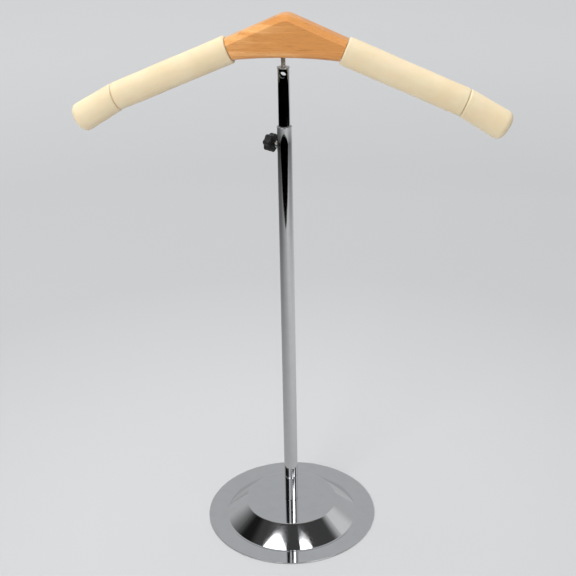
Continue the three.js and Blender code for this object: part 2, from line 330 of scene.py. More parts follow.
@dataclass(frozen=True)
class LacqueredBeech:
    """Steamed beech under thin lacquer, with its grain along a direction in the XZ plane."""

    name: str
    slope: float = 0.0
    pale: Colour = (0.86, 0.455, 0.17)
    ripe: Colour = (0.67, 0.285, 0.072)
    dark: Colour = (0.43, 0.155, 0.035)
    lacquer: float = 0.35

    def mixed(self) -> Material:
        """Builds the material: broad figure, growth lines, short flecks and pores."""
        board = FinishBoard(self.name)
        turn = (0.0, -self.slope, 0.0)
        drift = board.cloud(board.place((5, 9, 16), turn), 1.0, 2.0, 0.5, 0.8)
        across = board.place((10, 60, 150), turn, (0.31, 0.12, 0.05))
        rings = board.cloud(across, 1.0, 4.0, 0.62, 0.6)
        threads = board.cloud(board.place((60, 700, 900), turn), 1.0, 3.0, 0.7)
        flecks = board.cloud(board.place((210, 1500, 1900), turn), 1.0, 1.0, 0.4)
        figure = board.between(0.36, 0.64, drift * 0.5 + rings * 0.5)
        stops = [(0.0, self.pale), (0.45, self.ripe), (0.8, self.ripe), (1.0, self.dark)]
        base = board.ramp(figure, stops)
        lined = board.blend(board.between(0.5, 0.74, threads) * 0.5, base, self.dark)
        fleck = board.between(0.63, 0.72, flecks)
        board.feed(
            Base_Color=board.blend(fleck * 0.3, lined, self.dark),
            Roughness=0.36 + threads * 0.16,
            Coat_Weight=self.lacquer,
            Coat_Roughness=0.16,
        )
        board.emboss(threads * 0.7 - fleck * 0.5, 0.25, 0.00006)
        return board.material


@dataclass(frozen=True)
class SkinnedFoam:
    """Cream foam with a fine skin, faint handling marks and tiny pits, each pit's middle darkened as
    painted shade.
    """

    name: str
    pale: Colour = (0.80, 0.675, 0.46)
    deep: Colour = (0.755, 0.615, 0.395)
    soiled_and_pit_shade: Colour = (0.66, 0.52, 0.32)

    def mixed(self) -> Material:
        """Builds the material."""
        board = FinishBoard(self.name)
        where = board.place()
        broad = board.between(0.35, 0.68, board.cloud(where, 26.0, 3.0, 0.55))
        handled = board.between(0.6, 0.78, board.cloud(where, 70.0, 4.0, 0.6))
        # pits: lowest in each cell's middle, used for the bump and for painted shade in the colour
        pits = board.between(0.0, 0.34, board.cells(where, 1500.0))
        coarse = board.cloud(where, 800.0, 3.0, 0.6)
        skin = board.blend(broad, self.pale, self.deep)
        marked = board.blend(handled * 0.3, skin, self.soiled_and_pit_shade)
        board.feed(
            # painted shade: each pit's middle is darkened towards the darker colour that also tints the
            # handling marks
            Base_Color=board.blend((1 - pits) * 0.18, marked, self.soiled_and_pit_shade),
            Roughness=0.78 + coarse * 0.2,
            Subsurface_Weight=0.12,
            Subsurface_Scale=0.004,
            Sheen_Weight=0.15,
            Sheen_Roughness=0.5,
        )
        board.emboss(pits * 0.5 + coarse * 0.8, 0.5, 0.00022)
        return board.material


@dataclass(frozen=True)
class StudioPaper:
    """The plain pale paper of the floor, with painted light in its colour: lighter far out, where the
    lamps' light falls off, and a little darker between 0.7 and 1.3 m.
    """

    name: str
    colour: Colour = (0.535, 0.538, 0.545)
    reach: float = 8.0
    # painted light: the paper's colour by distance from the middle, raised far out to make up for the
    # lamps' falloff
    painted_light_levels: Sequence[Point] = ((0.0, 1.0), (0.25, 0.98), (0.7, 0.86), (1.3, 0.88), (2.4, 1.04),
                               (3.4, 1.14), (8.0, 1.78))

    def mixed(self) -> Material:
        """Builds the material."""
        board = FinishBoard(self.name)
        where = board.place()
        mottled = board.cloud(where, 3.0, 3.0)
        # painted light: the colour is scaled by the distance from the middle
        length = board.make("ShaderNodeVectorMath", {"operation": "LENGTH"}, {0: where})
        away = Reading(board, length.outputs["Value"])
        stops = [(reach / self.reach, tuple(level * value for value in self.colour))
                 for reach, level in self.painted_light_levels]
        paper = board.ramp(away / self.reach, stops)
        board.feed(Base_Color=board.blend(mottled * 0.03, paper, (0.3, 0.3, 0.3)), Roughness=0.85,
                   Specular_IOR_Level=0.2)
        return board.material


def mixed_once(finish: Union[Metal, MouldedPlastic, LacqueredBeech, SkinnedFoam]) -> Material:
    """A dataclass field that holds a finish's material."""
    return field(default_factory=finish.mixed)


@dataclass
class FinishShelf:
    """Every finish of the stand, built once."""

    chrome: Material = mixed_once(Metal(
        "chrome_plate", (0.715, 0.725, 0.74), (0.69, 0.70, 0.715), 0.04, 0.035))
    zinc_steel: Material = mixed_once(Metal(
        "zinc_steel", (0.62, 0.62, 0.60), (0.50, 0.49, 0.46), 0.24, 0.16, 300.0, 0.00002))
    iron: Material = mixed_once(Metal(
        "cast_iron", (0.055, 0.055, 0.058), (0.10, 0.075, 0.06), 0.62, 0.2, 120.0, 0.0004))
    brass: Material = mixed_once(Metal(
        "turned_brass", (0.72, 0.52, 0.22), (0.58, 0.40, 0.17), 0.28, 0.14, 300.0))
    black_plastic: Material = mixed_once(MouldedPlastic(
        "black_plastic", (0.012, 0.012, 0.013), (0.028, 0.028, 0.03), 0.34))
    nylon: Material = mixed_once(MouldedPlastic(
        "natural_nylon", (0.80, 0.77, 0.68), (0.72, 0.68, 0.58), 0.42, 0.15))
    beech: Material = mixed_once(LacqueredBeech("beech_block"))
    beech_left: Material = mixed_once(LacqueredBeech("beech_arm_left", -ARM_SLOPE))
    beech_right: Material = mixed_once(LacqueredBeech("beech_arm_right", ARM_SLOPE))
    foam: Material = mixed_once(SkinnedFoam("cream_foam"))


# ------------------------------------------------------------------ outlines

def rounded_outline(corners: Sequence[Corner], closed: bool = True, steps: int = 5) -> list[Point]:
    """A path of [x, y, radius] corners with each corner rounded to its own radius.

    Args:
        corners: the corners in order, each with its radius, 0 for a sharp one.
        closed: whether the last corner joins the first.
        steps: pieces that each arc is made of.

    Returns:
        The points of the path.
    """
    path: list[Point] = []
    count = len(corners)
    for i, (x, y, radius) in enumerate(corners):
        at_end = not closed and i in (0, count - 1)
        if radius <= 0 or at_end:
            path.append((x, y))
            continue
        here = Vector((x, y))
        back = (Vector(corners[i - 1][:2]) - here).normalized()
        on = (Vector(corners[(i + 1) % count][:2]) - here).normalized()
        half = math.acos(max(-1.0, min(1.0, back.dot(on)))) / 2
        centre = here + (back + on).normalized() * (radius / math.sin(half))
        start = here + back * (radius / math.tan(half)) - centre
        end = here + on * (radius / math.tan(half)) - centre
        sweep = math.atan2(start.x * end.y - start.y * end.x, start.dot(end))
        for step in range(steps + 1):
            angle = sweep * step / steps
            spoke = (start.x * math.cos(angle) - start.y * math.sin(angle),
                     start.x * math.sin(angle) + start.y * math.cos(angle))
            path.append((centre.x + spoke[0], centre.y + spoke[1]))
    return path


def stretched(low: Point, high: Point, rows: int) -> list[Point]:
    """Points spaced evenly between two points, with neither of the two."""
    return [(low[0] + (high[0] - low[0]) * i / rows, low[1] + (high[1] - low[1]) * i / rows)
            for i in range(1, rows)]


# ------------------------------------------------------------------ the bench

class Workpiece:
    """One new piece on the bench, with the work that is done on it in edit mode."""

    def __init__(self, thing: bpy.types.Object, name: str) -> None:
        """Takes over an object and names it."""
        self.thing = thing
        thing.name = name
        thing.data.name = name

    @staticmethod
    def clear_bench() -> None:
        """Deselects everything."""
        for other in bpy.context.selected_objects:
            other.select_set(False)

    @classmethod
    def drawn(cls, name: str, outline: Sequence[Sequence[float]], closed: bool) -> "Workpiece":
        """A chain of edges, extruded point by point.

        Args:
            name: the piece's name.
            outline: points as (x, y, z).
            closed: whether the chain returns to its start.

        Returns:
            The piece, still in edit mode.
        """
        cls.clear_bench()
        bpy.ops.mesh.primitive_plane_add(size=0.01)
        piece = cls(bpy.context.object, name)
        bpy.ops.object.mode_set(mode="EDIT")
        bpy.ops.mesh.select_mode(type="VERT")
        bpy.ops.mesh.merge(type="CENTER")
        bpy.ops.transform.translate(value=outline[0])
        stations = list(outline[1:]) + ([outline[0]] if closed else [])
        before = Vector(outline[0])
        for station in stations:
            step = Vector(station) - before
            bpy.ops.mesh.extrude_vertices_move(TRANSFORM_OT_translate={"value": step})
            before = Vector(station)
        bpy.ops.mesh.select_all(action="SELECT")
        bpy.ops.mesh.remove_doubles(threshold=2e-6)
        return piece

    @classmethod
    def turned(cls, name: str, outline: Sequence[Point], sides: int, closed: bool = True,
               sweep: float = 2 * math.pi) -> "Workpiece":
        """A turned piece: an outline of (radius, height) spun about Z.

        Args:
            name: the piece's name.
            outline: the outline's points.
            sides: steps of the spin.
            closed: whether the outline returns to its start.
            sweep: how far it is spun, in radians.

        Returns:
            The piece, with its faces outwards and its curves smooth.
        """
        piece = cls.drawn(name, [(r, 0.0, z) for r, z in outline], closed)
        bpy.ops.mesh.select_all(action="SELECT")
        full = abs(sweep - 2 * math.pi) < 1e-6
        if not full:
            bpy.ops.mesh.edge_face_add()
        bpy.ops.mesh.spin(steps=sides, angle=sweep, center=(0, 0, 0), axis=(0, 0, 1))
        bpy.ops.mesh.select_all(action="SELECT")
        bpy.ops.mesh.remove_doubles(threshold=2e-6)
        piece.close_and_face()
        return piece

    def close_and_face(self) -> None:
        """Turns the faces outwards and leaves edit mode."""
        bpy.ops.mesh.select_all(action="SELECT")
        bpy.ops.mesh.normals_make_consistent(inside=False)
        bpy.ops.object.mode_set(mode="OBJECT")
        self.smooth()

    @classmethod
    def prism(cls, name: str, sides: int, radius: float, low: float, high: float,
              turn: float = 0.0) -> "Workpiece":
        """A bar about Z with flat ends."""
        cls.clear_bench()
        bpy.ops.mesh.primitive_cylinder_add(vertices=sides, radius=radius, depth=high - low,
                                            location=(0, 0, (low + high) / 2), rotation=(0, 0, turn))
        bpy.ops.object.transform_apply(location=True, rotation=True, scale=True)
        return cls(bpy.context.object, name)

    def bring_forward(self) -> None:
        """Selects this piece alone and makes it the active one."""
        self.clear_bench()
        self.thing.select_set(True)
        bpy.context.view_layer.objects.active = self.thing

    def edit(self) -> None:
        """Enters edit mode on this piece alone, with nothing selected."""
        self.bring_forward()
        bpy.ops.object.mode_set(mode="EDIT")
        bpy.ops.mesh.select_all(action="DESELECT")

    def pick_edges(self, wanted: Callable[[bmesh.types.BMEdge], bool]) -> int:
        """Selects the edges that a rule wants, in edit mode.

        Args:
            wanted: the rule.

        Returns:
            How many are selected.
        """
        bpy.ops.mesh.select_mode(type="EDGE")
        shape = bmesh.from_edit_mesh(self.thing.data)
        for edge in shape.edges:
            edge.select_set(wanted(edge))
        bmesh.update_edit_mesh(self.thing.data)
        return sum(edge.select for edge in shape.edges)

    def smooth(self, angle: float = 32.0) -> None:
        """Shades the curves smooth and leaves the corners crisp."""
        self.bring_forward()
        bpy.ops.object.shade_smooth_by_angle(angle=math.radians(angle))

    def modified(self, kind: str, **settings: object) -> "Workpiece":
        """Adds one modifier and applies it.

        Args:
            kind: the modifier's type.
            settings: its properties.

        Returns:
            The same piece.
        """
        self.bring_forward()
        modifier = self.thing.modifiers.new(kind.lower(), kind)
        for key, value in settings.items():
            setattr(modifier, key, value)
        bpy.ops.object.modifier_apply(modifier=modifier.name)
        return self

    def worked_with(self, tool: "Workpiece", operation: str) -> "Workpiece":
        """Cuts by, joins with or keeps what lies inside another piece, which is used up."""
        self.modified("BOOLEAN", object=tool.thing, operation=operation, solver="EXACT")
        bpy.data.objects.remove(tool.thing, do_unlink=True)
        self.smooth()
        return self

    def cut_by(self, tool: "Workpiece") -> "Workpiece":
        """Takes another piece away."""
        return self.worked_with(tool, "DIFFERENCE")

    def joined_with(self, tool: "Workpiece") -> "Workpiece":
        """Joins another piece on."""
        return self.worked_with(tool, "UNION")

    def kept_inside(self, tool: "Workpiece") -> "Workpiece":
        """Keeps only what lies inside another piece."""
        return self.worked_with(tool, "INTERSECT")

    def reshaped(self, rule: Callable[[Vector], Vector]) -> "Workpiece":
        """Moves every corner to where a rule puts it."""
        for corner in self.thing.data.vertices:
            corner.co = rule(corner.co.copy())
        self.thing.data.update()
        return self

    def placed(self, matrix: Matrix) -> "Workpiece":
        """Moves the mesh itself to its place."""
        self.thing.data.transform(matrix)
        self.thing.data.update()
        return self

    def dressed(self, finish: Material, slot: Slot, body: Body,
                *stands_for: str) -> bpy.types.Object:
        """Gives the piece its finish and body, and hides the nodes that it stands for.

        Args:
            finish: the material.
            slot: the record's slot; not used.
            body: the body that it rides on.
            stands_for: the nodes that it replaces.

        Returns:
            The finished object.
        """
        self.thing.data.materials.clear()
        self.thing.data.materials.append(finish)
        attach(self.thing, body.value)
        if stands_for:
            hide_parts(*stands_for)
        log.info("%s: %d faces", self.thing.name, len(self.thing.data.polygons))
        return self.thing


@dataclass(frozen=True)
class Thread:
    """A screw thread cut into a shank."""

    radius: float
    pitch: float
    depth: float
    low: float
    high: float

    def outline(self) -> list[Point]:
        """The shank's heights, close enough together to carry the thread."""
        rows = int(round((self.high - self.low) / self.pitch * 10))
        return [(self.radius, self.low + (self.high - self.low) * i / rows) for i in range(rows + 1)]

    def cut(self, point: Vector) -> Vector:
        """Where a corner of the shank goes once the thread is cut."""
        radius = math.hypot(point.x, point.y)
        if abs(radius - self.radius) > 2e-5 or not self.low < point.z < self.high:
            return point
        turn = point.z / self.pitch - math.atan2(point.y, point.x) / (2 * math.pi)
        wave = abs((turn % 1.0) * 2 - 1)
        crest = min(1.0, max(0.0, wave * 1.25 - 0.12))
        ends = min(point.z - self.low, self.high - point.z) / self.pitch
        sunk = self.depth * (1 - crest) * min(1.0, max(0.0, ends))
        factor = (radius - sunk) / radius
        return Vector((point.x * factor, point.y * factor, point.z))


def carry_over(finish: Material, *names: str) -> None:
    """Gives CAD nodes that are kept a better material."""
    for name in names:
        node = frame["nodes"][name]
        node.data.materials.clear()
        node.data.materials.append(finish)
        log.info("%s: kept, with %s", name, finish.name)


def knob_joint() -> dict:
    """The record's entry for the turning knob."""
    joints = frame["record"]["behaviour"]["joints"]
    return next(joint for joint in joints if joint["name"] == "knob_turn")


def span_along(name: str, start: Vector, way: Vector) -> tuple[float, float]:
    """How far a node reaches along a line, from its start.

    Args:
        name: the node.
        start: a point on the line.
        way: the line's direction, of length 1.

    Returns:
        The lowest and highest distance.
    """
    reach = [(corner.co - start).dot(way) for corner in frame["nodes"][name].data.vertices]
    return min(reach), max(reach)


# ------------------------------------------------------------------ base

@dataclass
class WeightedBase:
    """The pressed dish, the cast disc under it and the bolt that holds the pole."""

    finishes: FinishShelf
    sheet: float = 1.5 * MM
    plateau: float = 53.6 * MM
    flange: float = 77.9 * MM
    shoulder: float = 5.0 * MM
    crease: float = 2.2 * MM
    cone_run: float = 1.28
    channel_depth: float = 0.6 * MM
    channel_bed: float = 2.0 * MM
    channel_width: float = 4.2 * MM
    hole: float = 3.3 * MM
    counterbore: float = 10.0 * MM
    bolt_flats: float = 10.0 * MM
    bolt_radius: float = 3.0 * MM
    head_height: float = 4.0 * MM

    def press_dish(self) -> None:
        """The dish: flange, channel, cone and plateau in one sheet, with a rounded rim."""
        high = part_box("base_dish")[1]
        rim = high.x
        start = [(self.hole, high.z, 0), (self.plateau, high.z, self.shoulder)]
        end = (rim - 0.7 * MM, self.sheet, 0)
        plain = rounded_outline([*start, (self.flange, self.sheet, self.crease), end], False, 12)
        bed = self.sheet - self.channel_depth
        upper = rounded_outline([
            *start,
            (self.flange + self.channel_depth * self.cone_run, bed, 0.5 * MM),
            (self.flange + self.channel_bed, bed, 0.5 * MM),
            (self.flange + self.channel_width, self.sheet, 0.6 * MM),
            end,
        ], closed=False, steps=12)
        edge = rounded_outline([
            (rim - 0.7 * MM, self.sheet, 0),
            (rim, self.sheet, 0.45 * MM),
            (rim, 0, 0.45 * MM),
            (rim - 0.7 * MM, 0, 0),
        ], closed=False, steps=4)
        under = []
        for i, (r, z) in enumerate(plain):
            ahead = plain[min(i + 1, len(plain) - 1)]
            behind = plain[max(i - 1, 0)]
            run = Vector((ahead[0] - behind[0], ahead[1] - behind[1])).normalized()
            under.append((r + run.y * self.sheet, z - run.x * self.sheet))
        outline = upper + edge[1:-1] + under[::-1]
        dish = Workpiece.turned("dish_pressing", outline, 160)
        dish.dressed(self.finishes.chrome, Slot.CHROME, Body.STAND, "base_dish")

    def cast_ballast(self) -> None:
        """The cast disc, with rounded edges and the roughness of a sand mould."""
        low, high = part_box("ballast_plate")
        outer = high.x
        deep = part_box("flat_washer")[1].z + 0.3 * MM
        outline = rounded_outline([
            (self.hole, deep, 0.3 * MM),
            (self.counterbore, deep, 0.4 * MM),
            (self.counterbore, low.z, 1.0 * MM),
            (outer * 0.55, low.z, 0),
            (outer * 0.58, low.z + 0.8 * MM, 0),
            (outer * 0.86, low.z + 0.8 * MM, 0),
            (outer * 0.89, low.z, 0),
            (outer, low.z, 1.8 * MM),
            (outer, high.z, 1.2 * MM),
            (self.hole, high.z, 0.3 * MM),
        ], steps=4)
        disc = Workpiece.turned("ballast_casting", outline, 96)
        disc.dressed(self.finishes.iron, Slot.IRON, Body.STAND, "ballast_plate")

    def fit_bolt(self) -> None:
        """The hexagon-head bolt with its rolled thread."""
        low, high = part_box("base_bolt")
        top = low.z + self.head_height
        head = Workpiece.prism("base_bolt_turned", 6, self.bolt_flats / math.sqrt(3), low.z, top)
        corner = self.bolt_flats / math.sqrt(3)
        face = self.bolt_flats * 0.475
        head.kept_inside(Workpiece.turned("bolt_chamfer", [
            (0, low.z - 0.1 * MM), (face, low.z), (corner + 0.2 * MM, low.z + 0.75 * MM),
            (corner + 0.2 * MM, top - 0.35 * MM), (corner - 0.2 * MM, top), (0, top + 0.1 * MM),
        ], 48, False))
        thread = Thread(self.bolt_radius, 1.0 * MM, 0.55 * MM, top + 2 * MM, high.z - 0.6 * MM)
        shank = [(0, top - 1 * MM), (self.bolt_radius, top - 1 * MM), *thread.outline(),
                 (self.bolt_radius - 0.5 * MM, high.z), (0, high.z)]
        bar = Workpiece.turned("bolt_shank", shank, 32, False).reshaped(thread.cut)
        head.joined_with(bar)
        head.dressed(self.finishes.zinc_steel, Slot.ZINC_STEEL, Body.STAND, "base_bolt")

    def stack_washers(self) -> None:
        """The flat washer and the split spring washer."""
        low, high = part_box("flat_washer")
        flat = Workpiece.turned("flat_washer_stamped", rounded_outline([
            (self.hole, low.z, 0.15 * MM), (high.x, low.z, 0.2 * MM),
            (high.x, high.z, 0.5 * MM), (self.hole, high.z, 0.15 * MM)], steps=3), 64)
        flat.dressed(self.finishes.zinc_steel, Slot.ZINC_STEEL, Body.STAND, "flat_washer")
        low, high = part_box("spring_washer")
        outer = -low.x
        gap = 1.4 * MM / (self.hole + outer) * 2
        ring = rounded_outline([
            (self.hole, low.z + 0.1 * MM, 0.12 * MM), (outer, low.z + 0.1 * MM, 0.12 * MM),
            (outer, high.z - 0.1 * MM, 0.12 * MM), (self.hole, high.z - 0.1 * MM, 0.12 * MM)], steps=2)
        coil = Workpiece.turned("spring_washer_coiled", ring, 60, sweep=2 * math.pi - gap)
        rise = 0.18 * MM

        def lift(point: Vector) -> Vector:
            """Raises the coil evenly round its turn."""
            turn = math.atan2(point.y, point.x) % (2 * math.pi) / (2 * math.pi)
            return Vector((point.x, point.y, point.z + rise * (turn - 0.5)))

        coil.reshaped(lift).placed(Matrix.Rotation(gap / 2, 4, "Z"))
        coil.dressed(self.finishes.zinc_steel, Slot.ZINC_STEEL, Body.STAND, "spring_washer")

    def build(self) -> None:
        """Makes every piece of the base."""
        self.press_dish()
        self.cast_ballast()
        self.fit_bolt()
        self.stack_washers()
        carry_over(self.finishes.zinc_steel, "foot_plug")


# ------------------------------------------------------------------ pole

@dataclass
class TelescopicPole:
    """The fixed outer tube, the sliding inner tube, its guide bush and the plug at its top."""

    finishes: FinishShelf
    outer_wall: float = 1.2 * MM
    inner_wall: float = 1.0 * MM
    lip_height: float = 0.9 * MM
    pad_hole: float = 2.7 * MM
    cross_hole: float = 3.3 * MM
    cross_hole_drop: float = 6.0 * MM
    stud_hole: float = 2.8 * MM
    outer_radius: float = 8.0 * MM

    def draw_outer_tube(self) -> None:
        """The outer tube, with its rolled mouth and the hole for the pressure pad."""
        low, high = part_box("outer_tube")
        lip = high.x
        bore = self.outer_radius - self.outer_wall
        neck = high.z - self.lip_height
        joint = knob_joint()
        clamp_height = joint["pos_m"][2]
        clamp_turn = math.atan2(joint["axis"][1], joint["axis"][0])
        wall = [clamp_height - 4.4 * MM, clamp_height + 4.4 * MM]
        outer = self.outer_radius
        mouth = rounded_outline([
            (outer + 0.08 * MM, neck, 0), (lip, neck + 0.1 * MM, 0.3 * MM),
            (lip, high.z, 0.4 * MM), (bore + 0.3 * MM, high.z, 0)], False, 5)
        outline = [
            (bore, low.z + 0.25 * MM), (bore + 0.25 * MM, low.z), (outer - 0.5 * MM, low.z),
            (outer, low.z + 0.5 * MM), (outer, wall[0]), (outer, wall[1]),
            (outer, neck - 0.3 * MM), (outer + 0.08 * MM, neck), *mouth[1:],
            (bore, high.z - 0.35 * MM), (bore, wall[1]), (bore, wall[0]),
        ]
        tube = Workpiece.turned("outer_tube_drawn", outline, 96)
        drill = Workpiece.prism("pad_drill", 32, self.pad_hole, 6.0 * MM, 10.0 * MM)
        aim = (Matrix.Translation((0, 0, clamp_height)) @ Matrix.Rotation(clamp_turn, 4, "Z")
               @ Matrix.Rotation(math.pi / 2, 4, "Y"))
        tube.cut_by(drill.placed(aim))
        tube.dressed(self.finishes.chrome, Slot.CHROME, Body.STAND, "outer_tube")

    def draw_inner_tube(self) -> None:
        """The inner tube, cross-drilled near its top."""
        low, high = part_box("inner_tube")
        outer = high.x
        bore = outer - self.inner_wall
        middle = high.z - self.cross_hole_drop
        band = self.cross_hole + 0.5 * MM
        ends = (outer, middle - band), (outer, middle + band)
        outside = [ends[0], *stretched(*ends, 9), ends[1]]
        inside = [(bore, z) for _, z in reversed(outside)]
        outline = [
            (bore, low.z + 0.2 * MM), (bore + 0.2 * MM, low.z), (outer - 0.25 * MM, low.z),
            (outer, low.z + 0.25 * MM), *outside, (outer, high.z - 0.3 * MM),
            (outer - 0.3 * MM, high.z), (bore + 0.15 * MM, high.z), (bore, high.z - 0.15 * MM), *inside,
        ]
        tube = Workpiece.turned("inner_tube_drawn", outline, 96)
        drill = Workpiece.prism("cross_drill", 48, self.cross_hole, -outer - 2 * MM, outer + 2 * MM)
        aim = Matrix.Translation((0, 0, middle)) @ Matrix.Rotation(math.pi / 2, 4, "X")
        tube.cut_by(drill.placed(aim))
        tube.dressed(self.finishes.chrome, Slot.CHROME, Body.MAST, "inner_tube")

    def turn_top_plug(self) -> None:
        """The flanged plug in the inner tube's mouth."""
        low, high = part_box("top_plug")
        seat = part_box("inner_tube")[1].z + 0.3 * MM
        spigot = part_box("inner_tube")[1].x - self.inner_wall - 0.3 * MM
        outline = rounded_outline([
            (self.stud_hole, low.z, 0.2 * MM), (spigot, low.z, 0.3 * MM), (spigot, seat, 0),
            (high.x, seat, 0.12 * MM), (high.x, high.z, 0.4 * MM), (self.stud_hole, high.z, 0.25 * MM),
        ], steps=4)
        plug = Workpiece.turned("top_plug_turned", outline, 72)
        plug.dressed(self.finishes.zinc_steel, Slot.ZINC_STEEL, Body.MAST, "top_plug")

    def roll_stud(self) -> None:
        """The threaded stud that the hanger screws onto."""
        low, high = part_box("hanger_stud")
        radius = (high.x - low.x) / 2
        thread = Thread(radius, 0.8 * MM, 0.42 * MM, low.z + 0.5 * MM, high.z - 0.5 * MM)
        outline = [(0, low.z), (radius - 0.4 * MM, low.z), *thread.outline(),
                   (radius - 0.4 * MM, high.z), (0, high.z)]
        stud = Workpiece.turned("hanger_stud_rolled", outline, 40, False).reshaped(thread.cut)
        stud.dressed(self.finishes.zinc_steel, Slot.ZINC_STEEL, Body.MAST, "hanger_stud")

    def build(self) -> None:
        """Makes every piece of the pole."""
        self.draw_outer_tube()
        self.draw_inner_tube()
        self.turn_top_plug()
        self.roll_stud()
        carry_over(self.finishes.nylon, "guide_bush")


# ------------------------------------------------------------------ clamp

@dataclass
class ClampKnob:
    """The tapped boss on the outer tube and the lobed knob that turns the screw in it."""

    finishes: FinishShelf
    lobes: int = 7
    lobe_height: float = 0.9 * MM
    mean_radius: float = 9.2 * MM
    lobe_root: float = 6.6 * MM
    nut_radius: float = 4.2 * MM
    saddle: float = 8.3 * MM
    screw_radius: float = 2.5 * MM
    clearance: float = 0.3 * MM
    head_flats: float = 8.0 * MM
    head_height: float = 3.5 * MM
    pocket_depth: float = 4.8 * MM
    start: Vector = field(init=False)
    way: Vector = field(init=False)
    aim: Matrix = field(init=False)

    def __post_init__(self) -> None:
        """Reads the screw's line from the record."""
        turn = knob_joint()
        self.start = Vector((0, 0, turn["pos_m"][2]))
        self.way = Vector(turn["axis"]).normalized()
        angle = math.atan2(self.way.y, self.way.x)
        self.aim = (Matrix.Translation(self.start) @ Matrix.Rotation(angle, 4, "Z")
                    @ Matrix.Rotation(math.pi / 2, 4, "Y"))

    def turn_nut(self) -> None:
        """The boss, chamfered at its face and hollowed to sit on the tube."""
        reach = span_along("clamp_nut", self.start, self.way)[1]
        hole = self.screw_radius + self.clearance
        boss = Workpiece.turned("clamp_nut_turned", rounded_outline([
            (hole, 5 * MM, 0), (self.nut_radius, 5 * MM, 0), (self.nut_radius, reach, 0.5 * MM),
            (hole, reach, 0.25 * MM)], steps=3), 64).placed(self.aim)
        height = self.start.z
        boss.cut_by(Workpiece.prism("saddle_tool", 96, self.saddle, height - 8 * MM, height + 8 * MM))
        boss.dressed(self.finishes.chrome, Slot.CHROME, Body.STAND, "clamp_nut")

    def roll_screw(self) -> None:
        """The screw with its hexagon head, threaded to its tip."""
        tip, end = span_along("clamp_screw", self.start, self.way)
        head_low = end - self.head_height
        corner = self.head_flats / math.sqrt(3)
        head = Workpiece.prism("clamp_screw_rolled", 6, corner, head_low, end)
        head.kept_inside(Workpiece.turned("head_chamfer", [
            (0, head_low - 0.1 * MM), (corner + 0.1 * MM, head_low),
            (corner + 0.1 * MM, end - 0.5 * MM), (self.head_flats * 0.48, end), (0, end + 0.1 * MM),
        ], 48, False))
        thread = Thread(self.screw_radius, 0.8 * MM, 0.42 * MM, tip + 0.4 * MM, head_low - 0.4 * MM)
        outline = [(0, tip), (self.screw_radius - 0.4 * MM, tip), *thread.outline(),
                   (self.screw_radius, head_low + 0.8 * MM), (0, head_low + 0.8 * MM)]
        head.joined_with(Workpiece.turned("screw_shank", outline, 40, False).reshaped(thread.cut))
        head.placed(self.aim)
        head.dressed(self.finishes.zinc_steel, Slot.ZINC_STEEL, Body.KNOB, "clamp_screw")

    def lobed(self, point: Vector) -> Vector:
        """Draws the knob's rim in and out into lobes; its middle stays round."""
        radius = math.hypot(point.x, point.y)
        share = min(1.0, max(0.0, (radius - self.lobe_root) / (self.mean_radius - self.lobe_root)))
        angle = math.atan2(point.y, point.x)
        grown = radius + self.lobe_height * math.cos(self.lobes * angle) * share
        factor = grown / max(radius, 1e-9)
        return Vector((point.x * factor, point.y * factor, point.z))

    def mould_knob(self) -> None:
        """The knob, with its pocket, a groove round its face and a hub at the back."""
        low, high = span_along("clamp_knob", self.start, self.way)
        hole = self.screw_radius + self.clearance
        pocket = self.head_flats / math.sqrt(3) + self.clearance
        rim = self.mean_radius
        floor = high - self.pocket_depth
        outline = rounded_outline([
            (hole, low, 0.2 * MM),
            (5.4 * MM, low, 0.3 * MM),
            (5.8 * MM, low + 1.0 * MM, 0.4 * MM),
            (7.2 * MM, low + 1.0 * MM, 0.3 * MM),
            (7.4 * MM, low, 0.3 * MM),
            (rim, low, 1.0 * MM),
            (rim, high, 1.7 * MM),
            (6.9 * MM, high, 0.3 * MM),
            (6.7 * MM, high - 0.5 * MM, 0.15 * MM),
            (6.3 * MM, high - 0.5 * MM, 0.15 * MM),
            (6.1 * MM, high, 0.3 * MM),
            (pocket, high, 0.2 * MM),
            (pocket, floor, 0),
            (hole, floor, 0),
        ], steps=5)
        knob = Workpiece.turned("clamp_knob_moulded", outline, 168)
        knob.reshaped(self.lobed).placed(self.aim)
        knob.smooth(40)
        knob.dressed(self.finishes.black_plastic, Slot.BLACK_PLASTIC, Body.KNOB, "clamp_knob")

    def press_cap(self) -> None:
        """The domed cap over the screw's head."""
        low, high = span_along("knob_cap", self.start, self.way)
        radius = self.head_flats / math.sqrt(3)
        outline = [(0, low), (radius - 0.15 * MM, low), (radius, low + 0.15 * MM),
                   (radius, high - 0.45 * MM)]
        outline += [(radius * math.cos(a), high - 0.45 * MM + 0.45 * MM * math.sin(a))
                    for a in (math.radians(15 * i) for i in range(1, 6))]
        cap = Workpiece.turned("knob_cap_moulded", [*outline, (0, high)], 64, False).placed(self.aim)
        cap.dressed(self.finishes.black_plastic, Slot.BLACK_PLASTIC, Body.KNOB, "knob_cap")

    def build(self) -> None:
        """Makes every piece of the clamp."""
        self.turn_nut()
        self.roll_screw()
        self.mould_knob()
        self.press_cap()
        carry_over(self.finishes.nylon, "pressure_pad")


# ------------------------------------------------------------------ hanger

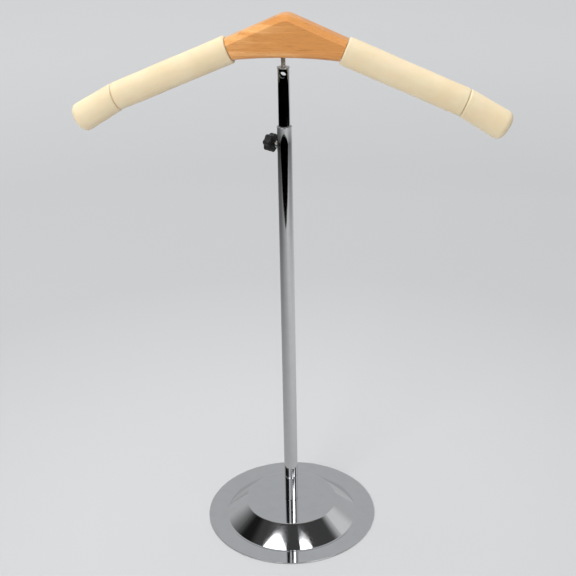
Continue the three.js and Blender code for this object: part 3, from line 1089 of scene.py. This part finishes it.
@dataclass
class ShoulderBlock:
    """The wooden block: two slopes over a shallow arch, its upper edges broadly bevelled."""

    finishes: FinishShelf
    bevel: float = 5.6 * MM
    bottom_round: float = 7.0 * MM
    slope: float = math.radians(23.5)
    peak_round: float = 17.0 * MM
    tenon_hole: float = 6.3 * MM
    insert_hole: float = 4.3 * MM
    arch_drop: float = 3.4 * MM
    half_length: float = 58.6 * MM
    tenon_depth: float = 16.3 * MM
    foam_gap: float = 0.6 * MM
    edge_round: float = 0.7 * MM

    def silhouette(self, middle: float, top: float, underside: float) -> list[Point]:
        """The block's outline in X and Z, run past its ends."""
        run = self.half_length + 12 * MM
        lift = self.peak_round * (1 / math.cos(self.slope) - 1)
        fall = run * math.tan(self.slope)
        crown = rounded_outline([(-run, top + lift - fall, 0), (0, top + lift, self.peak_round),
                                 (run, top + lift - fall, 0)], False, 10)
        arch = []
        for i in range(25):
            x = run * (1 - i / 12)
            arch.append((x, underside - self.arch_drop * (x / self.half_length) ** 2))
        return [(middle + x, z) for x, z in [*crown, *arch]]

    def build(self) -> None:
        """Saws, bevels and drills the block."""
        low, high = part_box("shoulder_block")
        middle = (low.x + high.x) / 2
        insert_low, insert_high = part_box("block_insert")
        underside = insert_low.z - 0.3 * MM
        outline = self.silhouette(middle, high.z, underside)
        block = Workpiece.drawn("shoulder_block_shaped", [(x, low.y, z) for x, z in outline], True)
        bpy.ops.mesh.select_all(action="SELECT")
        bpy.ops.mesh.edge_face_add()
        bpy.ops.mesh.extrude_region_move(TRANSFORM_OT_translate={"value": (0, high.y - low.y, 0)})
        block.close_and_face()
        block.edit()
        arch_top = underside + 0.5 * MM

        def on_face(edge: bmesh.types.BMEdge) -> bool:
            """An edge round the front or back face."""
            a, b = edge.verts[0].co.y, edge.verts[1].co.y
            return abs(a - b) < 1e-5 and min(abs(a - low.y), abs(a - high.y)) < 1e-5

        def is_upper(edge: bmesh.types.BMEdge) -> bool:
            """An edge of the two slopes."""
            a, b = edge.verts[0].co, edge.verts[1].co
            return on_face(edge) and min(a.z, b.z) > arch_top and abs(a.x - b.x) > 1e-5

        def is_lower(edge: bmesh.types.BMEdge) -> bool:
            """An edge of the arch."""
            return on_face(edge) and max(end.co.z for end in edge.verts) < arch_top

        count = block.pick_edges(is_upper)
        bpy.ops.mesh.bevel(offset=self.bevel, segments=1, clamp_overlap=False)
        log.info("block: %d upper edges bevelled", count)
        count = block.pick_edges(is_lower)
        bpy.ops.mesh.bevel(offset=self.bottom_round, segments=8, profile=0.5, clamp_overlap=False)
        log.info("block: %d lower edges rounded", count)
        self.trim_ends(block)
        block.smooth(28)
        for side in (-1, 1):
            block.cut_by(self.mortise(side))
        drill = Workpiece.prism("insert_drill", 48, self.insert_hole, underside - 10 * MM,
                                insert_high.z + 1 * MM)
        block.cut_by(drill.placed(Matrix.Translation(((insert_low.x + insert_high.x) / 2, 0, 0))))
        block.modified("BEVEL", width=self.edge_round, segments=3, limit_method="ANGLE",
                       angle_limit=math.radians(24), harden_normals=False)
        block.smooth(30)
        block.dressed(self.finishes.beech, Slot.WOOD, Body.MAST, "shoulder_block")
        carry_over(self.finishes.brass, "block_insert")

    def arm_line(self, side: int) -> tuple[Vector, Vector]:
        """The foot of an arm's foam on its axis, and the arm's direction."""
        arm = PaddedArm(self.finishes, side)
        return arm.foot, arm.way

    def trim_ends(self, block: Workpiece) -> None:
        """Saws the ends off square to the arms."""
        for side in (-1, 1):
            foot, way = self.arm_line(side)
            bpy.ops.mesh.select_all(action="SELECT")
            bpy.ops.mesh.bisect(plane_co=foot - way * self.foam_gap, plane_no=way, use_fill=True,
                                clear_outer=True)
        block.close_and_face()

    def mortise(self, side: int) -> Workpiece:
        """The drill for an arm's tenon."""
        foot, way = self.arm_line(side)
        drill = Workpiece.prism("mortise_drill", 48, self.tenon_hole, -self.tenon_depth, 3 * MM)
        turn = way.to_track_quat("Z", "Y").to_matrix().to_4x4()
        return drill.placed(Matrix.Translation(foot) @ turn)


@dataclass
class PaddedArm:
    """One arm: its wooden core in a straight foam sleeve and a drooping foam tip."""

    finishes: FinishShelf
    side: int
    radius: float = 15.0 * MM
    slope: float = ARM_SLOPE
    bore: float = 9.3 * MM
    bend: float = math.radians(7.8)
    tip_length: float = 51.0 * MM
    tip_radius: float = 16.2 * MM
    tip_round: float = 7.4 * MM
    core_in_tip: float = 34.0 * MM
    seam_round: float = 1.7 * MM
    dimple: float = 0.32 * MM
    foot: Vector = field(init=False)
    elbow: Vector = field(init=False)
    way: Vector = field(init=False)
    word: str = field(init=False)

    def __post_init__(self) -> None:
        """Reads the arm's axis from the sleeve's box."""
        self.word = "left" if self.side < 0 else "right"
        low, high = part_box(f"foam_sleeve_{self.word}")
        inset = self.radius * math.sin(self.slope)
        drop = self.radius * math.cos(self.slope)
        near = (low.x if self.side > 0 else high.x) + self.side * inset
        far = (high.x if self.side > 0 else low.x) - self.side * inset
        self.foot = Vector((near, 0, high.z - drop))
        self.elbow = Vector((far, 0, low.z + drop))
        self.way = (self.elbow - self.foot).normalized()

    def along(self, start: Vector, way: Vector) -> Matrix:
        """The move that lays a piece made about Z along a line."""
        across = Vector((0, 1, 0))
        third = across.cross(way)
        turn = Matrix((third, across, way)).transposed().to_4x4()
        return Matrix.Translation(start) @ turn

    def drooped(self) -> Vector:
        """The tip's direction."""
        return Matrix.Rotation(self.side * self.bend, 3, "Y") @ self.way

    def dimpled(self, depth: float, seed: float) -> Callable[[Vector], Vector]:
        """Slight unevenness of hand-cut foam on the outside.

        Args:
            depth: how far in and out it goes.
            seed: where in the noise it starts.

        Returns:
            The rule that moves a corner.
        """
        def rule(point: Vector) -> Vector:
            """Moves one corner in or out along its radius."""
            radius = math.hypot(point.x, point.y)
            if radius < self.bore + 1 * MM:
                return point
            swell = noise.noise(Vector((point.x * 45, point.y * 45, point.z * 28 + seed)))
            fine = noise.noise(Vector((point.x * 190, point.y * 190, point.z * 120 - seed)))
            factor = 1 + (depth * swell + depth * 0.35 * fine - depth * 0.3) / radius
            return Vector((point.x * factor, point.y * factor, point.z))
        return rule

    def cut_sleeve(self) -> None:
        """The straight foam tube, its mouths eased where they meet the block and the tip."""
        length = (self.elbow - self.foot).length
        soft = self.seam_round
        outer = rounded_outline([
            (self.bore, 0, 0.8 * MM), (self.radius, 0, soft), (self.radius, length, soft),
            (self.bore, length, 0.8 * MM)], steps=7)
        split = next(i for i, (_, z) in enumerate(outer) if z > length / 2)
        rows = stretched(outer[split - 1], outer[split], 90)
        inner = stretched(outer[-1], outer[0], 12)
        outline = [*outer[:split], *rows, *outer[split:], *inner]
        sleeve = Workpiece.turned(f"foam_sleeve_cut_{self.word}", outline, 96)
        sleeve.reshaped(self.dimpled(self.dimple, 3.7 + self.side))
        sleeve.placed(self.along(self.foot, self.way))
        sleeve.smooth(60)
        piece = sleeve.dressed(self.finishes.foam, Slot.FOAM, Body.MAST, f"foam_sleeve_{self.word}")

    def cut_tip(self) -> None:
        """The drooping tip, flared and closed at its end, mitred where it meets the sleeve."""
        start = 0.3 * MM
        bottom = self.core_in_tip + 0.3 * MM
        soft = self.seam_round
        outer = rounded_outline([
            (self.bore, start, 0), (self.radius, start, soft),
            (self.tip_radius, self.tip_length, self.tip_round), (0, self.tip_length, 0)], False, 9)
        outer[0:1] = [(self.bore, start + 0.8 * MM), (self.bore + 0.25 * MM, start + 0.25 * MM),
                      (self.bore + 0.8 * MM, start)]
        split = next(i for i, (_, z) in enumerate(outer) if z > self.tip_length / 2)
        rows = stretched(outer[split - 1], outer[split], 30)
        face = stretched(outer[-2], outer[-1], 8)
        outline = [(0, bottom), (self.bore - 0.6 * MM, bottom), (self.bore, bottom - 0.6 * MM),
                   *outer[:split], *rows, *outer[split:-1], *face, outer[-1]]
        tip = Workpiece.turned(f"foam_tip_cut_{self.word}", outline, 96, False)
        lean = math.tan(self.bend)
        fade = 12 * MM

        def mitred(point: Vector) -> Vector:
            """Slants the mouth so that it lies against the sleeve's square end."""
            share = min(1.0, max(0.0, 1 - (point.z - start) / fade))
            return Vector((point.x, point.y, point.z + self.side * point.x * lean * share))

        tip.reshaped(self.dimpled(self.dimple, 9.1 + self.side)).reshaped(mitred)
        tip.placed(self.along(self.elbow, self.drooped()))
        tip.smooth(60)
        piece = tip.dressed(self.finishes.foam, Slot.FOAM, Body.MAST, f"foam_tip_{self.word}")

    def build(self) -> None:
        """Makes both foam pieces and finishes the core."""
        self.cut_sleeve()
        self.cut_tip()
        core = self.finishes.beech_left if self.side < 0 else self.finishes.beech_right
        carry_over(core, f"arm_core_{self.word}")


# ------------------------------------------------------------------ studio

@dataclass
class Studio:
    """The camera, the floor, the soft lights and the cards that only the chrome mirrors: painted
    reflections, dark and glowing, that light nothing.
    """

    camera_place: Vector = field(default_factory=lambda: Vector((0.14916, -1.10325, 0.83785)))
    aim_turn: float = math.radians(7.7)
    pan: float = math.radians(0.027)
    pitch: float = 0.445882
    roll: float = -0.0191776
    lens: float = 68.75
    # heights and distance of the painted reflection cards, which only mirrors see
    paper_card: float = 0.4 * MM
    dark_card: float = 0.6 * MM
    ceiling: float = 1.8
    windows: float = 1.6
    wall: float = 3.5
    paper: StudioPaper = field(default_factory=lambda: StudioPaper("studio_paper"))

    def set_camera(self) -> None:
        """Puts the camera where the stand is seen from."""
        data = bpy.data.cameras.new("counter_camera")
        data.lens = self.lens
        data.sensor_width = 36.0
        data.sensor_fit = "HORIZONTAL"
        data.clip_start = 0.02
        data.clip_end = 60.0
        camera = bpy.data.objects.new("counter_camera", data)
        bpy.context.collection.objects.link(camera)
        across = math.cos(self.pitch)
        ahead = Vector((math.sin(self.pan) * across, math.cos(self.pan) * across, -math.sin(self.pitch)))
        ahead = Matrix.Rotation(self.aim_turn, 3, "Z") @ ahead
        right = ahead.cross(Vector((0, 0, 1))).normalized()
        up = right.cross(ahead)
        level = math.cos(self.roll) * right + math.sin(self.roll) * up
        top = -math.sin(self.roll) * right + math.cos(self.roll) * up
        turn = Matrix((level, top, -ahead)).transposed().to_4x4()
        camera.matrix_world = Matrix.Translation(self.camera_place) @ turn
        bpy.context.scene.camera = camera
        bpy.context.scene.view_settings.view_transform = "Standard"

    def lay_floor(self) -> None:
        """The pale floor, far wider than the view."""
        Workpiece.clear_bench()
        bpy.ops.mesh.primitive_plane_add(size=24.0, location=(0, 0, 0))
        floor = bpy.context.object
        floor.name = "paper_floor"
        floor.data.materials.append(self.paper.mixed())

    def stand_card(self, name: str, corners: Sequence[Sequence[float]], glow: float = 0.0,
                   tone: Optional[Callable[[Reading, Reading], object]] = None) -> None:
        """A card that only mirrors see, black or glowing: a painted reflection that lights nothing.

        Args:
            name: the card's name.
            corners: its corners in order.
            glow: its brightness, 0 for a black card.
            tone: the light's colour from X and Y, white if there is none.
        """
        shape = bpy.data.meshes.new(name)
        shape.from_pydata([tuple(corner) for corner in corners], [], [tuple(range(len(corners)))])
        card = bpy.data.objects.new(name, shape)
        bpy.context.collection.objects.link(card)
        board = FinishBoard(name + "_face")
        colour = (1.0, 1.0, 1.0)
        if tone:
            split = board.make("ShaderNodeSeparateXYZ", {}, {"Vector": board.place()})
            colour = tone(Reading(board, split.outputs["X"]), Reading(board, split.outputs["Y"]))
        board.feed(Base_Color=(0.0, 0.0, 0.0), Roughness=1.0, Specular_IOR_Level=0.0,
                   Emission_Color=colour, Emission_Strength=glow)
        card.data.materials.append(board.material)
        # painted reflection: hidden from the camera, diffuse light and shadows, so only mirrors see it
        for rays in ("camera", "diffuse", "shadow", "transmission", "volume_scatter"):
            setattr(card, f"visible_{rays}", False)

    @staticmethod
    def faded(tone: Reading, share: Reading, other: Reading) -> Reading:
        """A tone that gives way to another by a share."""
        return tone + (other - tone) * share

    def lay_painted_floor_reflection(self, left: float, right: float, near: float, far: float) -> None:
        """A painted reflection of the floor for the pole to mirror, with painted shade that dims it
        towards its left and its ends.

        Args:
            left: its lowest X.
            right: its highest X.
            near: its lowest Y.
            far: its highest Y.
        """
        # painted shade: glow levels across X, dimmest at the left and at the ends, brightest near X 0.5
        painted_light_levels = [(-1.4, 0.06), (-0.95, 0.15), (-0.7, 0.25), (-0.45, 0.35), (-0.2, 0.42), (0.0, 0.48),
                  (0.25, 0.59), (0.5, 0.62), (0.75, 0.56), (1.0, 0.40), (1.5, 0.15)]
        stops = [((x - left) / (right - left), (level, level, level)) for x, level in painted_light_levels]
        spread = [(left, near), (right, near), (right, far), (left, far)]
        self.stand_card("shaded_paper", [(x, y, self.paper_card) for x, y in spread], 1.0,
                        lambda x, y: x.board.ramp((x - left) / (right - left), stops))

    def hang_light(self, name: str, place: Sequence[float], target: Sequence[float], size: float,
                   power: float) -> None:
        """A square softbox aimed at a point."""
        data = bpy.data.lights.new(name, "AREA")
        data.shape = "SQUARE"
        data.size = size
        data.energy = power
        light = bpy.data.objects.new(name, data)
        bpy.context.collection.objects.link(light)
        way = Vector(target) - Vector(place)
        turn = way.to_track_quat("-Z", "Y").to_matrix().to_4x4()
        light.matrix_world = Matrix.Translation(Vector(place)) @ turn
        light.visible_glossy = False

    def tone_room(self) -> None:
        """The even pale light of the room."""
        world = bpy.data.worlds.new("pale_room")
        bpy.context.scene.world = world
        world.use_nodes = True
        ground = world.node_tree.nodes["Background"]
        ground.inputs["Color"].default_value = (0.97, 0.985, 1.0, 1.0)
        ground.inputs["Strength"].default_value = 0.5

    def overhead(self, height: float, *spread: Point) -> list[Corner]:
        """Corners at a height, given as sideways and forward shares of that height."""
        return [(x * height, y * height - 0.06, height) for x, y in spread]

    def ring_with_painted_dark(self, edge: Sequence[Point]) -> None:
        """Black cards laid on the floor from an edge round the stand outwards: painted dark reflections,
        which only mirrors see over the pale floor.
        """
        for i, ((x0, y0), (x1, y1)) in enumerate(zip(edge, edge[1:])):
            far = [(x * 5, y * 5 if y < 0 else y) for x, y in ((x1, y1), (x0, y0))]
            # painted reflection: black in mirrors only, where the floor itself is pale
            self.stand_card(f"dark_floor_{i}",
                            [(x, y, self.dark_card) for x, y in ((x0, y0), (x1, y1), *far)])

    def hang_painted_room(self) -> None:
        """Painted reflections of a dark ceiling, which fades into the room towards the back, and of the
        two side walls: glowing cards with painted shade across them.
        """
        spread = (-0.95, -1.3), (1.3, -1.3), (2.6, 0.42), (-2.1, 0.42), (-1.6, -0.9)
        # painted reflection and shade: the ceiling's glow, darkest at the front and paler towards the
        # back and the right
        self.stand_card("dark_ceiling", self.overhead(self.ceiling, *spread), 1.0,
                        lambda x, y: self.faded(0.012 + 0.043 * x.risen(-1.85, -1.35),
                                                y.risen(0.12, 0.68),
                                                0.085 + 0.415 * x.risen(-2.4, -0.9)))
        pale = (0.6, 0.6), (3.6, 0.6), (3.6, 4.2), (0.6, 4.2)
        # painted reflection: the right wall's glow, brightest between 1.5 and 2.2 m back
        self.stand_card("pale_right", [(self.wall, *corner) for corner in pale], 1.0,
                        lambda x, y: 0.5 + 0.2 * y.risen(0.6, 1.5) * (1 - y.risen(2.2, 3.6)))
        dim = (2.9, 0.6), (0.5, 0.6), (0.5, 3.4), (2.9, 2.6)
        # painted reflection: the left wall's glow, dim at the front and brighter towards the back
        self.stand_card("dim_left", [(-self.wall, *corner) for corner in dim], 1.0,
                        lambda x, y: 0.085 + 0.42 * y.risen(0.5, 2.9))

    def hang_painted_highlights(self) -> None:
        """Bright cards in the ceiling, like windows, that only mirrors see: painted highlights on the
        chrome.
        """
        # painted highlights: glowing cards set where the cone's highlights fall; they light nothing
        for name, glow, spread in (
            ("window_left", 3.6, ((-0.61, -0.338), (-0.055, -0.447), (-0.10, -0.68), (-0.68, -0.62))),
            ("window_left_low", 0.8, ((-0.68, -0.62), (-0.10, -0.68), (-0.22, -1.5), (-0.75, -1.35))),
            ("window_right", 3.6, ((0.22, -0.385), (0.46, -0.30), (1.42, -0.50), (0.80, -1.20))),
        ):
            self.stand_card(name, self.overhead(self.windows, *spread), glow)

    def build(self) -> None:
        """Sets the whole studio."""
        self.set_camera()
        self.tone_room()
        self.lay_floor()
        self.hang_light("key_softbox", (-0.6, 1.0, 5.0), (0, 0.6, 0.0), 5.0, 235.0)
        self.hang_light("front_softbox", (-1.0, -2.4, 1.5), (0, 0, 0.45), 1.2, 37.0)
        front, back, left, right = -0.93, 1.15, -1.4, 1.5
        self.ring_with_painted_dark([(left, back), (left, -0.55), (-0.95, -0.80), (-0.32, front), (0.42, front),
                             (1.0, -0.80), (right, -0.6), (right, 0.95)])
        self.hang_painted_room()
        self.hang_painted_highlights()
        self.lay_painted_floor_reflection(left, right, front, back)


def main() -> None:
    """Builds the stand and its studio in order."""
    logging.basicConfig(level=logging.INFO, format="%(name)s: %(message)s")
    studio = Studio()
    studio.build()
    finishes = FinishShelf()
    for assembly in (WeightedBase(finishes), TelescopicPole(finishes), ClampKnob(finishes),
                     ShoulderBlock(finishes), PaddedArm(finishes, -1), PaddedArm(finishes, 1)):
        assembly.build()
        log.info("%s built", type(assembly).__name__)


if __name__ == "__main__":
    main()
